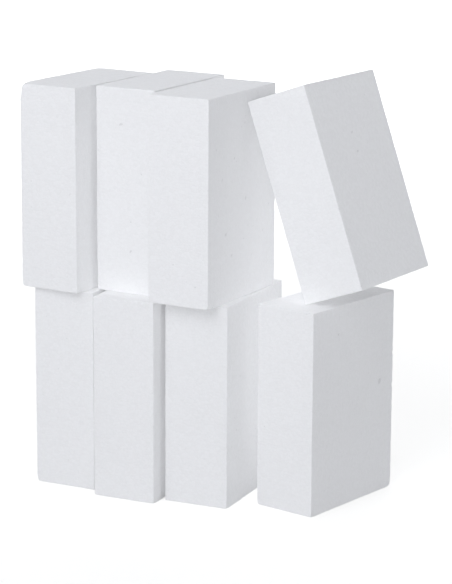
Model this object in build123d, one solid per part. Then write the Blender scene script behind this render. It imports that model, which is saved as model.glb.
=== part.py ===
from build123d import *
import os
from math import asin, cos, degrees, radians, sin

# Loose foam bricks set out in two rows, millimetres, +Z up.
# X runs along the rows, Y runs away from the front, Z = 0 is the table.
# The origin is the middle of the whole set's footprint, on the table.

# One brick: cut on a 1 : 2 : 3 ratio from a bead-foam block.
BRICK_WIDTH = 50.0
BRICK_DEPTH = 100.0
BRICK_HEIGHT = 152.0
EDGE_ROUND = 0.6

# Each standing brick: its centre across and back from lower_brick_2's centre,
# and how far it is turned, in degrees anticlockwise seen from above.
LOWER_ROW = {
    "lower_brick_1": (-54.4, 10.2, -1.0),
    "lower_brick_2": (0.0, 0.0, 0.0),
    "lower_brick_3": (52.1, 12.4, 1.5),
    "lower_brick_4": (128.5, 27.0, -13.0),
}
UPPER_ROW = {
    "upper_brick_1": (-57.8, 3.4, -6.5),
    "upper_brick_2": (-4.0, 19.2, -4.3),
    "upper_brick_3": (48.7, -1.6, -3.5),
}

# The leaning brick stands on its lower left edge on lower_brick_4, and its
# top left corner reaches the side of upper_brick_3.
LEAN_FOOT_ACROSS = 130.9
LEAN_FOOT_BACK = 45.0
LEAN_TURN = -7.0
LEAN_REACH = 50.6


def brick():
    """One foam brick standing on its small end, its base centred on the origin."""
    block = Box(BRICK_WIDTH, BRICK_DEPTH, BRICK_HEIGHT, align=(Align.CENTER, Align.CENTER, Align.MIN))
    return fillet(block.edges(), EDGE_ROUND)


def standing_brick(across, back, turn, level):
    """A brick standing square on the surface at the height `level`."""
    return Pos(across, back, level) * Rot(0, 0, turn) * brick()


def leaning_brick(level):
    """A brick tipped to the left about its lower left edge, which rests at `level`."""
    lean = degrees(asin(LEAN_REACH / BRICK_HEIGHT))
    edge_drop = EDGE_ROUND * (sin(radians(lean)) + cos(radians(lean)) - 1)
    foot = Pos(LEAN_FOOT_ACROSS, LEAN_FOOT_BACK, level - edge_drop)
    return foot * Rot(0, 0, LEAN_TURN) * Rot(0, -lean, 0) * Pos(BRICK_WIDTH / 2, 0, 0) * brick()


def whole_set():
    """Every brick in its place, by name."""
    bricks = {}
    for name, (across, back, turn) in LOWER_ROW.items():
        bricks[name] = standing_brick(across, back, turn, 0)
    for name, (across, back, turn) in UPPER_ROW.items():
        bricks[name] = standing_brick(across, back, turn, BRICK_HEIGHT)
    bricks["leaning_brick"] = leaning_brick(BRICK_HEIGHT)
    return bricks


bricks = whole_set()
footprint = Compound(list(bricks.values())).bounding_box().center()

os.makedirs("parts", exist_ok=True)
for name, solid in bricks.items():
    export_step(Pos(-footprint.X, -footprint.Y, 0) * solid, f"parts/{name}.step")
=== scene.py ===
from math import cos, radians, sin

import bpy
import numpy as np
from mathutils import Matrix, Vector, noise


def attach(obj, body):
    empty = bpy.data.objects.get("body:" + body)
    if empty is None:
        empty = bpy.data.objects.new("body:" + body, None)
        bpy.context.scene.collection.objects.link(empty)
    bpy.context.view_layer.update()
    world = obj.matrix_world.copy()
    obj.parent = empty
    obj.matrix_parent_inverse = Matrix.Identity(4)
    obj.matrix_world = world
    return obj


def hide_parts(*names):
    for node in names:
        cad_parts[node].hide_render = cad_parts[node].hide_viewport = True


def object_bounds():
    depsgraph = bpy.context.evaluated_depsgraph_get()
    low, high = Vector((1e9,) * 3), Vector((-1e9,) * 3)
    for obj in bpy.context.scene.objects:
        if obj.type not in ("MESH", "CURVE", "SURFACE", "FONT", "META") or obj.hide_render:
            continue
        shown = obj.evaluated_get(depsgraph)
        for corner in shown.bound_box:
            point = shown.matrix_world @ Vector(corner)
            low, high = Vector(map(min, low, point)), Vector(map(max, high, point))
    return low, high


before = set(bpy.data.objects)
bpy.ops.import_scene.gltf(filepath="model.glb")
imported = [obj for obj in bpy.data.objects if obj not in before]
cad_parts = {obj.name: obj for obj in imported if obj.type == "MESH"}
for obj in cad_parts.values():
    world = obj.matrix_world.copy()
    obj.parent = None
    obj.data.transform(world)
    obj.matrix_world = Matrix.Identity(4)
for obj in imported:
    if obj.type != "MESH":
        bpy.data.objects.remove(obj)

cad_low, cad_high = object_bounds()


# ---------------------------------------------------------------------------
# The lower row. Four bricks stand on their ends on the table, loose. Each is
# sawn with a hot wire from a block of white expanded-polystyrene bead foam:
# beads about 2.5 mm across, steam-moulded together, with a few gaps left.
# ---------------------------------------------------------------------------

# The foam. Lengths are in millimetres, and each weight says how far a feature
# darkens the foam or stands out of it.
BEAD_SIZE = 2.5
GRAIN_SCALE = 1.6
CLOUD_SCALE = 0.045
SEAM_WIDTH = 0.16
VOID_SPACING = 9.0
VOID_CORE = 0.03
VOID_RIM = 0.085
VOID_SURE = 0.16
VOID_NEVER = 0.30

FOAM_PALE = (0.975, 0.975, 0.975, 1)
FOAM_DEEP = (0.80, 0.80, 0.80, 1)
PALE_LEVEL = 1.46
BEAD_SHADE = -0.20
SEAM_SHADE = -0.12
# Painted shade: the next weight darkens the foam inside small voids, where shade falls.
VOID_PAINTED_SHADE = -1.10
# Painted shade: the next weight darkens the foam inside the pits where beads came out, where
# shade falls.
PIT_PAINTED_SHADE = -2.5
MARK_SHADE = -0.42
GRAIN_SHADE = -0.38
CLOUD_SHADE = -0.08

BEAD_CROWN = -0.04
SEAM_DIP = -0.04
VOID_DIP = -0.30
MARK_RIDGE = 0.20
GRAIN_RIDGE = 0.09

FOAM_ROUGHNESS = 0.68
BEAD_ROUGHENS = 0.12
SEAM_ROUGHENS = 0.1
FOAM_SHINE = 0.25
LIGHT_SOAK = 0.12
SOAK_DEPTH = 0.0012


def bead_foam():
    """White bead foam: bead seams, wire marks, fine cell grain and small voids, with painted
    shade in the voids and in the pits where beads came out.
    """
    foam = bpy.data.materials.new("bead_foam")
    foam.use_nodes = True
    tree = foam.node_tree
    surface = tree.nodes["Principled BSDF"]

    def node(kind, **sockets):
        made = tree.nodes.new(kind)
        for name, value in sockets.items():
            made.inputs[name.replace("_", " ")].default_value = value
        return made

    def carried(name):
        """What the brick's mesh carries under this name."""
        made = tree.nodes.new("ShaderNodeAttribute")
        made.attribute_name = name
        return made

    def join(start, end):
        tree.links.new(start, end)

    def sum_of(*parts):
        """The weighted sum of outputs: (output, weight) pairs."""
        total = None
        for output, weight in parts:
            step = tree.nodes.new("ShaderNodeMath")
            step.operation = "MULTIPLY_ADD"
            join(output, step.inputs[0])
            step.inputs[1].default_value = weight
            if total is None:
                step.inputs[2].default_value = 0
            else:
                join(total, step.inputs[2])
            total = step.outputs[0]
        return total

    def raised(output, amount):
        """The output plus an amount, kept from 0 to 1."""
        step = tree.nodes.new("ShaderNodeMath")
        step.operation = "ADD"
        step.use_clamp = True
        join(output, step.inputs[0])
        step.inputs[1].default_value = amount
        return step.outputs[0]

    def step_down(output, full, gone):
        """1 where output is at or under full, falling smoothly to 0 at gone."""
        fall = tree.nodes.new("ShaderNodeMapRange")
        fall.interpolation_type = "SMOOTHSTEP"
        join(output, fall.inputs["Value"])
        fall.inputs["From Min"].default_value = full
        fall.inputs["From Max"].default_value = gone
        fall.inputs["To Min"].default_value = 1
        fall.inputs["To Max"].default_value = 0
        return fall.outputs["Result"]

    def split(output):
        parts = tree.nodes.new("ShaderNodeSeparateColor")
        join(output, parts.inputs["Color"])
        return parts

    in_block = carried("in_block").outputs["Vector"]
    along_wire = carried("along_wire").outputs["Vector"]
    pit_painted_shade = carried("pit_painted_shade").outputs["Fac"]

    seams = node("ShaderNodeTexVoronoi", Scale=1 / BEAD_SIZE)
    seams.feature = "DISTANCE_TO_EDGE"
    join(in_block, seams.inputs["Vector"])
    seam = step_down(seams.outputs["Distance"], 0.0, SEAM_WIDTH)

    beads = node("ShaderNodeTexVoronoi", Scale=1 / BEAD_SIZE)
    join(in_block, beads.inputs["Vector"])
    bead_tone = split(beads.outputs["Color"])

    void_beads = node("ShaderNodeTexVoronoi", Scale=1 / VOID_SPACING)
    join(in_block, void_beads.inputs["Vector"])
    void_core = step_down(void_beads.outputs["Distance"], VOID_CORE, VOID_RIM)
    void_pick = split(void_beads.outputs["Color"])
    is_void = step_down(void_pick.outputs["Red"], VOID_SURE, VOID_NEVER)
    void = tree.nodes.new("ShaderNodeMath")
    void.operation = "MULTIPLY"
    join(void_core, void.inputs[0])
    join(is_void, void.inputs[1])

    marks = node("ShaderNodeTexNoise", Scale=1.0, Detail=3.0, Roughness=0.55)
    join(along_wire, marks.inputs["Vector"])
    grain = node("ShaderNodeTexNoise", Scale=GRAIN_SCALE, Detail=2.0, Roughness=0.6)
    join(in_block, grain.inputs["Vector"])
    clouds = node("ShaderNodeTexNoise", Scale=CLOUD_SCALE, Detail=3.0)
    join(in_block, clouds.inputs["Vector"])

    shade = sum_of(
        (bead_tone.outputs["Red"], BEAD_SHADE),
        (seam, SEAM_SHADE),
        # Painted shade in the voids, where shade falls.
        (void.outputs[0], VOID_PAINTED_SHADE),
        # Painted shade in the pits where beads came out.
        (pit_painted_shade, PIT_PAINTED_SHADE),
        (marks.outputs["Fac"], MARK_SHADE),
        (grain.outputs["Fac"], GRAIN_SHADE),
        (clouds.outputs["Fac"], CLOUD_SHADE),
    )
    tone = tree.nodes.new("ShaderNodeMix")
    tone.data_type = "RGBA"
    join(raised(shade, PALE_LEVEL), tone.inputs[0])
    tone.inputs[6].default_value = FOAM_DEEP
    tone.inputs[7].default_value = FOAM_PALE
    join(tone.outputs[2], surface.inputs["Base Color"])

    height = sum_of(
        (beads.outputs["Distance"], BEAD_CROWN),
        (seam, SEAM_DIP),
        (void.outputs[0], VOID_DIP),
        (marks.outputs["Fac"], MARK_RIDGE),
        (grain.outputs["Fac"], GRAIN_RIDGE),
    )
    bump = node("ShaderNodeBump", Strength=1.0, Distance=0.001)
    join(height, bump.inputs["Height"])
    join(bump.outputs["Normal"], surface.inputs["Normal"])

    dull = sum_of((bead_tone.outputs["Green"], BEAD_ROUGHENS), (seam, SEAM_ROUGHENS))
    join(raised(dull, FOAM_ROUGHNESS), surface.inputs["Roughness"])
    surface.inputs["Specular IOR Level"].default_value = FOAM_SHINE
    surface.inputs["Subsurface Weight"].default_value = LIGHT_SOAK
    surface.inputs["Subsurface Radius"].default_value = (1.0, 1.0, 1.0)
    surface.inputs["Subsurface Scale"].default_value = SOAK_DEPTH
    return foam


FOAM = bead_foam()

# Cutting a brick. The wire leaves flat faces and crisp edges. Handling then
# rounds the edges a little, crushes corners and pulls single beads out.
EDGE_STEPS = (0.0, 0.2, 0.45, 0.75, 1.1, 1.6, 2.2, 3.0)
FACE_STEP = 1.2
EDGE_ROUND = 0.45
EDGE_WEAR = 0.55
WORN_PATCH = 9.0
CRUSH_REACH = 2.6
WIRE_RIPPLE = 0.07
RIPPLE_WIDTH = 4.0
RIPPLE_LENGTH = 45.0
BEAD_RELIEF = 0.05
SEAM_GAP = 0.4
MARK_LENGTH = 5.0
MARK_WIDTH = 1.4
EDGE_PULLS = 18
FACE_PULLS = 5
EDGE_PULL_SIZE = (0.6, 1.2)
FACE_PULL_SIZE = (0.45, 0.8)


def brick_stand(node):
    """A brick's middle, its three directions (one a row) and its half size in millimetres."""
    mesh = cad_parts[node].data
    faces = sorted(mesh.polygons, key=lambda face: -face.area)
    across = faces[0].normal.copy()
    if across.x < 0:
        across.negate()
    back = next(f.normal.copy() for f in faces if abs(f.normal.dot(across)) < 0.1)
    if back.y < 0:
        back.negate()
    up = across.cross(back)
    corners = np.array([v.co for v in mesh.vertices])
    axes = np.array([across, back, up])
    spread = corners @ axes.T
    half = (spread.max(axis=0) - spread.min(axis=0)) / 2 * 1000
    middle = (spread.max(axis=0) + spread.min(axis=0)) / 2 @ axes
    return middle, axes, half


def saw_lines(half):
    """Where the mesh has lines along one direction: close together near both edges."""
    inner = half - EDGE_STEPS[-1]
    count = int(round(2 * inner / FACE_STEP))
    ends = half - np.array(EDGE_STEPS[:-1])
    return np.concatenate([-ends, np.linspace(-inner, inner, count + 1), ends[::-1]])


def block_skin(half):
    """The closed surface of a block: its points and its four-sided faces."""
    lines = [saw_lines(h) for h in half]
    counts = [len(line) for line in lines]
    grid = np.stack(np.meshgrid(*lines, indexing="ij"), axis=-1)
    outside = np.zeros(counts, dtype=bool)
    for axis in range(3):
        ends = [slice(None)] * 3
        ends[axis] = [0, -1]
        outside[tuple(ends)] = True
    number = np.full(counts, -1)
    number[outside] = np.arange(outside.sum())
    faces = []
    for axis in range(3):
        for end in (0, -1):
            side = np.take(number, end, axis=axis)
            a, b, c, d = side[:-1, :-1], side[1:, :-1], side[1:, 1:], side[:-1, 1:]
            turned = (axis == 1) == (end == -1)
            order = (a, d, c, b) if turned else (a, b, c, d)
            faces.append(np.stack([q.ravel() for q in order], axis=1))
    return grid[outside], np.concatenate(faces)


def worn(points, half, seed, softened, pulled):
    """The block's points after cutting and handling, their wire marks and how deep in a pit,
    which sets the painted shade there.
    """
    offset = Vector((seed * 37.0, seed * 11.0, seed * 23.0))
    wear = np.empty(len(points))
    relief = np.empty(len(points))
    for i, p in enumerate(points):
        at = Vector(p) + offset
        wear[i] = noise.noise(at / BEAD_SIZE) + 0.6 * noise.noise(at / WORN_PATCH)
        seams = noise.voronoi(at / BEAD_SIZE)[0]
        relief[i] = min(seams[1] - seams[0], SEAM_GAP) / SEAM_GAP
    radius = EDGE_ROUND + EDGE_WEAR * np.clip(wear + 0.25, 0, 1.2)
    for signs, size in softened:
        signs = np.array(signs)
        away = (points - signs * half) * np.abs(signs)
        near = np.clip(1 - np.linalg.norm(away, axis=1) / (CRUSH_REACH * size), 0, 1)
        radius = np.maximum(radius, size * near ** 0.6 * (1 + 0.25 * wear))
    core = np.clip(points, radius[:, None] - half, half - radius[:, None])
    out = points - core
    out /= np.linalg.norm(out, axis=1)[:, None]
    shaped = core + out * radius[:, None]
    facing = np.abs(out).argmax(axis=1)
    on_side = [facing == 0, facing == 1]
    across_wire = np.select(on_side, [points[:, 1], points[:, 2]], points[:, 0])
    along_wire = np.select(on_side, [points[:, 2], points[:, 0]], points[:, 1])
    ripple = np.empty(len(points))
    for i in range(len(points)):
        across, along = across_wire[i] / RIPPLE_WIDTH, along_wire[i] / RIPPLE_LENGTH
        ripple[i] = noise.noise(Vector((across, along, facing[i] * 9.0 + seed)))
    recess = WIRE_RIPPLE * (0.8 + ripple) + BEAD_RELIEF * (1 - relief)
    shaped -= out * recess[:, None]
    hollow = np.zeros(len(points))
    for centre, size in pulled:
        away = shaped - centre
        distance = np.linalg.norm(away, axis=1)
        inside = distance < size
        shaped[inside] = centre + away[inside] / distance[inside, None] * size
        hollow[inside] = np.maximum(hollow[inside], 1 - (distance[inside] / size) ** 2)
    cut = facing * 31.0 + seed * 7.0
    marks = np.stack([across_wire / MARK_WIDTH, along_wire / MARK_LENGTH, cut], axis=1)
    return shaped, marks, hollow


def scattered_pulls(half, seed, on_edges, on_faces):
    """Small places where a bead has come out, along the edges and on the faces."""
    draw = np.random.default_rng(seed)
    pulled = []
    for _ in range(on_edges):
        axis = int(draw.integers(3))
        spot = np.where(draw.random(3) < 0.5, -1.0, 1.0) * half
        size = draw.uniform(*EDGE_PULL_SIZE)
        spot += np.sign(spot) * size * 0.35
        spot[axis] = draw.uniform(-0.95, 0.95) * half[axis]
        pulled.append((spot, size))
    for _ in range(on_faces):
        axis = int(draw.integers(3))
        spot = draw.uniform(-0.93, 0.93, 3) * half
        size = draw.uniform(*FACE_PULL_SIZE)
        spot[axis] = draw.choice([-1.0, 1.0]) * (half[axis] + size * 0.25)
        pulled.append((spot, size))
    return pulled


def carry(mesh, name, kind, values):
    """Store one value a point on the mesh for the foam to read."""
    kept = mesh.attributes.new(name, kind, "POINT")
    kept.data.foreach_set("vector" if kind == "FLOAT_VECTOR" else "value", values.ravel())


def foam_brick(node, seed, softened=(), pulled=(), on_faces=FACE_PULLS):
    """One foam brick in place of its CAD node.

    softened holds (signs, size) pairs: the corner that the three signs point
    to, or the edge where one sign is 0, and how far it is rounded off. pulled
    holds (centre, size) pairs, from the brick's middle: beads that came out.
    """
    middle, axes, half = brick_stand(node)
    points, faces = block_skin(half)
    pulls = [(np.array(centre), size) for centre, size in pulled]
    pulls += scattered_pulls(half, seed, EDGE_PULLS, on_faces)
    shaped, marks, hollow = worn(points, half, seed, softened, pulls)
    mesh = bpy.data.meshes.new(f"{node}_foam")
    mesh.vertices.add(len(shaped))
    mesh.vertices.foreach_set("co", (shaped / 1000 @ axes + middle).ravel())
    mesh.loops.add(faces.size)
    mesh.loops.foreach_set("vertex_index", faces.ravel())
    mesh.polygons.add(len(faces))
    mesh.polygons.foreach_set("loop_start", np.arange(0, faces.size, 4))
    mesh.update(calc_edges=True)
    mesh.validate()
    mesh.polygons.foreach_set("use_smooth", np.ones(len(faces), dtype=bool))
    place_in_block = np.array([seed * 61.0, seed * 17.0, seed * 43.0])
    carry(mesh, "in_block", "FLOAT_VECTOR", shaped + place_in_block)
    carry(mesh, "along_wire", "FLOAT_VECTOR", marks)
    # How deep each point lies in a pit, kept for the painted shade there.
    carry(mesh, "pit_painted_shade", "FLOAT", hollow)
    mesh.materials.append(FOAM)
    brick = bpy.data.objects.new(f"{node}_foam", mesh)
    bpy.context.collection.objects.link(brick)
    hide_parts(node)
    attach(brick, node)


foam_brick(
    "lower_brick_1",
    seed=1,
    softened=[((-1, -1, -1), 2.2)],
    on_faces=0,
)
foam_brick(
    "lower_brick_2",
    seed=2,
    softened=[((1, -1, -1), 1.2), ((-1, -1, 0), 1.3)],
)
foam_brick(
    "lower_brick_3",
    seed=3,
    softened=[((1, -1, -1), 1.4)],
)
# The end brick is turned well out of line. Two beads are missing from its
# broad side, and two from its back edge.
foam_brick(
    "lower_brick_4",
    seed=4,
    softened=[((1, 1, -1), 2.4), ((-1, -1, -1), 1.8)],
    pulled=[
        ((25.4, 33.2, 9.4), 1.9),
        ((25.3, -19.5, 54.8), 1.0),
        ((25.6, 50.5, 28.5), 1.8),
        ((25.6, 50.6, 3.6), 1.9),
    ],
    on_faces=0,
)


# ---------------------------------------------------------------------------
# The upper row. Three bricks of the same foam stand loose on the lower ones.
# The first has a crushed top corner, and the third shows its broad side, where
# the wire has opened several small voids.
# ---------------------------------------------------------------------------

foam_brick(
    "upper_brick_1",
    seed=5,
    softened=[((-1, -1, 1), 4.6), ((-1, -1, -1), 1.8), ((-1, 1, 1), 2.0)],
)
foam_brick(
    "upper_brick_2",
    seed=6,
    softened=[((-1, -1, 1), 1.2)],
    pulled=[((-3.7, -50.3, 49.1), 1.1)],
)
foam_brick(
    "upper_brick_3",
    seed=7,
    softened=[((-1, -1, 1), 1.8), ((1, -1, -1), 1.6), ((-1, -1, 0), 1.2)],
    pulled=[
        ((25.3, -24.3, -25.2), 1.3),
        ((25.3, 4.5, -3.0), 1.1),
        ((25.2, -39.0, 38.0), 0.7),
        ((25.2, -30.0, 15.0), 0.8),
        ((25.2, -12.0, 29.0), 0.7),
        ((25.2, 3.0, 53.0), 0.8),
        ((25.2, -35.0, -9.0), 0.7),
        ((25.2, -16.0, -42.0), 0.8),
    ],
)


# ---------------------------------------------------------------------------
# The leaning brick. The same foam, standing on its lower left edge on the last
# lower brick, with its top left corner against the side of the third upper one.
# ---------------------------------------------------------------------------

foam_brick(
    "leaning_brick",
    seed=8,
    softened=[((1, 1, 1), 1.2)],
    pulled=[((25.3, -3.3, 20.3), 1.1), ((25.2, -4.1, 34.7), 0.9)],
)


# ---------------------------------------------------------------------------
# The table. A broad white paper sheet that the lower row stands on, with a
# duller board just under it. The sheet is what is seen. The board is what
# sends light back up to the bricks. Neither is part of the set.
# ---------------------------------------------------------------------------

TABLE_HALF = 15.0
PAPER_WHITE = (0.97, 0.96, 0.92, 1)
PAPER_ROUGHNESS = 0.9
PAPER_SHINE = 0.1
TABLE_GLOW = 0.42
FAR_GLOW = 1.1
GLOW_STARTS = 0.45
GLOW_ENDS = 1.7
BOARD_TONE = 0.5
BOARD_DEPTH = 0.0005


def matt(name, colour, roughness, shine):
    """A plain matt finish, and its shader."""
    finish = bpy.data.materials.new(name)
    finish.use_nodes = True
    surface = finish.node_tree.nodes["Principled BSDF"]
    surface.inputs["Base Color"].default_value = colour
    surface.inputs["Roughness"].default_value = roughness
    surface.inputs["Specular IOR Level"].default_value = shine
    return finish, surface


def smooth_ramp(tree, start, end, at_start, at_end):
    """A number that changes smoothly from one value to another as its input grows."""
    ramp = tree.nodes.new("ShaderNodeMapRange")
    ramp.interpolation_type = "SMOOTHSTEP"
    ramp.inputs["From Min"].default_value = start
    ramp.inputs["From Max"].default_value = end
    ramp.inputs["To Min"].default_value = at_start
    ramp.inputs["To Max"].default_value = at_end
    return ramp


def flat_stage(name, level, finish):
    """A square sheet of the stage, lying flat."""
    corners = [(-1, -1), (1, -1), (1, 1), (-1, 1)]
    points = [(x * TABLE_HALF, y * TABLE_HALF, level) for x, y in corners]
    mesh = bpy.data.meshes.new(name)
    mesh.from_pydata(points, [], [(0, 1, 2, 3)])
    mesh.materials.append(finish)
    lying = bpy.data.objects.new(name, mesh)
    bpy.context.collection.objects.link(lying)
    return lying


white_sheet, paper = matt("white_sheet", PAPER_WHITE, PAPER_ROUGHNESS, PAPER_SHINE)
paper.inputs["Emission Color"].default_value = (1, 1, 1, 1)
paper_tree = white_sheet.node_tree
on_table = paper_tree.nodes.new("ShaderNodeNewGeometry")
from_middle = paper_tree.nodes.new("ShaderNodeVectorMath")
from_middle.operation = "LENGTH"
paper_tree.links.new(on_table.outputs["Position"], from_middle.inputs[0])
glow = smooth_ramp(paper_tree, GLOW_STARTS, GLOW_ENDS, TABLE_GLOW, FAR_GLOW)
paper_tree.links.new(from_middle.outputs["Value"], glow.inputs["Value"])
paper_tree.links.new(glow.outputs["Result"], paper.inputs["Emission Strength"])

dull_board, _ = matt("dull_board", (BOARD_TONE, BOARD_TONE, BOARD_TONE, 1), 1.0, 0.0)

table = flat_stage("table", 0.0, white_sheet)
table.visible_diffuse = False
table.visible_shadow = False
under_board = flat_stage("under_board", -BOARD_DEPTH, dull_board)
under_board.visible_camera = False


# ---------------------------------------------------------------------------
# The studio. A bright white band stands round the horizon under a dim dome.
# Soft panels light the fronts and the tops, and two behind fill the gaps
# between the bricks. All of the light is a little cool.
# ---------------------------------------------------------------------------

LIGHT_TINT = (0.93, 0.948, 1.0)
BAND_GLOW = 2.1
BAND_TOP = 0.14
DOME_GLOW = 0.06
DOME_FOOT = 0.26
LIGHT_BOUNCES = 48
FOAM_BOUNCES = 40
VIEW_GAMMA = 1.3

# Each panel: its turn to the right of the front and its rise above the table
# in degrees, its distance and size in metres, and its power in watts.
PANELS = {
    "front_panel": (-15, 40, 2.2, 1.4, 9.8),
    "right_panel": (15, 32, 2.2, 1.2, 12.1),
    "top_panel": (-20, 78, 2.0, 1.6, 6.0),
    "back_panel": (180, 18, 2.2, 2.0, 20.0),
    "back_left_panel": (-150, 22, 2.2, 1.6, 9.0),
}


def out_from(aim, turn, rise, distance):
    """A point out from the aim, and the direction from the aim to it."""
    flat, steep = cos(radians(rise)), sin(radians(rise))
    outward = Vector((sin(radians(turn)) * flat, -cos(radians(turn)) * flat, steep))
    return aim + outward * distance, outward


set_middle = Vector((0, 0, (cad_low.z + cad_high.z) / 2))

for name, (turn, rise, distance, size, power) in PANELS.items():
    panel = bpy.data.lights.new(name, "AREA")
    panel.shape = "SQUARE"
    panel.size = size
    panel.energy = power
    panel.color = LIGHT_TINT
    lamp = bpy.data.objects.new(name, panel)
    bpy.context.collection.objects.link(lamp)
    lamp.location, outward = out_from(set_middle, turn, rise, distance)
    lamp.rotation_mode = "QUATERNION"
    lamp.rotation_quaternion = outward.to_track_quat("Z", "Y")

surround = bpy.data.worlds.new("white_surround")
surround.use_nodes = True
air_tree = surround.node_tree
air = air_tree.nodes["Background"]
air.inputs["Color"].default_value = (*LIGHT_TINT, 1)
towards = air_tree.nodes.new("ShaderNodeTexCoord")
upward = air_tree.nodes.new("ShaderNodeSeparateXYZ")
air_tree.links.new(towards.outputs["Generated"], upward.inputs["Vector"])
fade = smooth_ramp(air_tree, BAND_TOP, DOME_FOOT, BAND_GLOW, DOME_GLOW)
air_tree.links.new(upward.outputs["Z"], fade.inputs["Value"])
air_tree.links.new(fade.outputs["Result"], air.inputs["Strength"])

scene = bpy.context.scene
scene.world = surround
scene.view_settings.view_transform = "Standard"
scene.view_settings.gamma = VIEW_GAMMA
scene.cycles.max_bounces = LIGHT_BOUNCES
scene.cycles.diffuse_bounces = FOAM_BOUNCES


# ---------------------------------------------------------------------------
# The camera. A long lens a little under two metres off, to the right of the
# front and a little above, aimed just under the middle of the set.
# ---------------------------------------------------------------------------

CAMERA_TURN = 25.77
CAMERA_RISE = 13.10
CAMERA_DISTANCE = 1.7833
CAMERA_AIM = 0.1475
CAMERA_ROLL = 0.287
CAMERA_LENS = 147.4
CAMERA_REACH = 50

camera = bpy.data.objects.new("camera", bpy.data.cameras.new("camera"))
bpy.context.collection.objects.link(camera)
camera.data.lens = CAMERA_LENS
camera.data.clip_end = CAMERA_REACH
aim = Vector((0, 0, CAMERA_AIM))
stand, outward = out_from(aim, CAMERA_TURN, CAMERA_RISE, CAMERA_DISTANCE)
roll = Matrix.Rotation(radians(CAMERA_ROLL), 3, "Z")
turned = outward.to_track_quat("Z", "Y").to_matrix() @ roll
camera.matrix_world = Matrix.Translation(stand) @ turned.to_4x4()
bpy.context.scene.camera = camera
